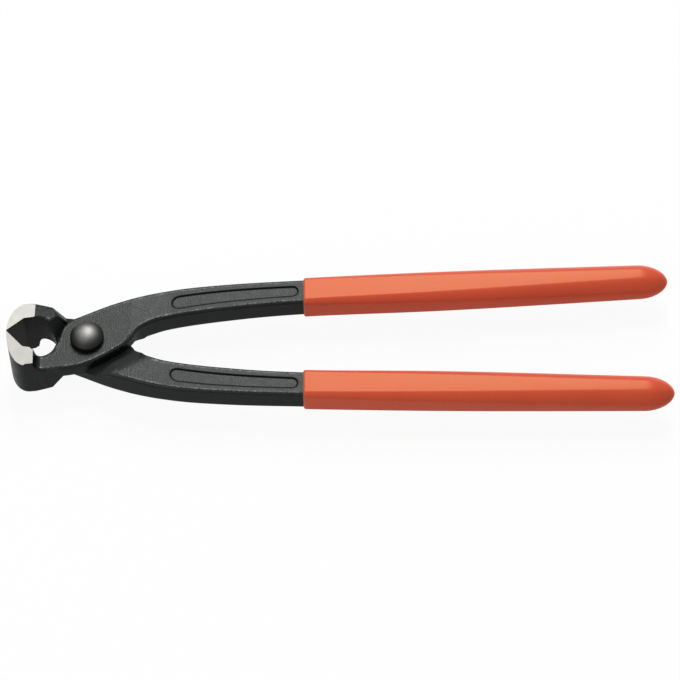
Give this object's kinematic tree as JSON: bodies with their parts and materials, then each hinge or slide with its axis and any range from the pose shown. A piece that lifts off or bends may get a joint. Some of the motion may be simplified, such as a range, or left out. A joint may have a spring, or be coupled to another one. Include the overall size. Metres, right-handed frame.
{
  "type": "rebar tying pliers",
  "caption": "Forged end-cutting nippers with wide jaws, a riveted lap joint and long handles with dipped grips, for twisting and cutting tie wire on rebar.",
  "frame": {"origin": "centre of the tool's outline in plan, at the level of the lowest point of the jaws", "axes": "+X from the jaws to the handle ends, +Z along the rivet, out of the upper plate"},
  "size_m": [0.22, 0.0544, 0.0209],
  "materials": {
    "forged_steel": "black oxide on forged steel, jaw faces ground bright",
    "rivet_steel": "dark polished dome",
    "dipped_plastic": "glossy orange-red dipped coat"
  },
  "bodies": {
    "fixed_half": {"lever_a": "forged_steel", "grip_a": "dipped_plastic", "pivot_rivet": "rivet_steel"},
    "turning_half": {"lever_b": "forged_steel", "grip_b": "dipped_plastic"}
  },
  "joints": [
    {"name": "jaw_pivot", "type": "hinge", "parent": "fixed_half", "child": "turning_half", "pos_m": [-0.0836, 0, 0.01045], "axis": [0, 0, -1], "range_deg": [0, 32]}
  ]
}
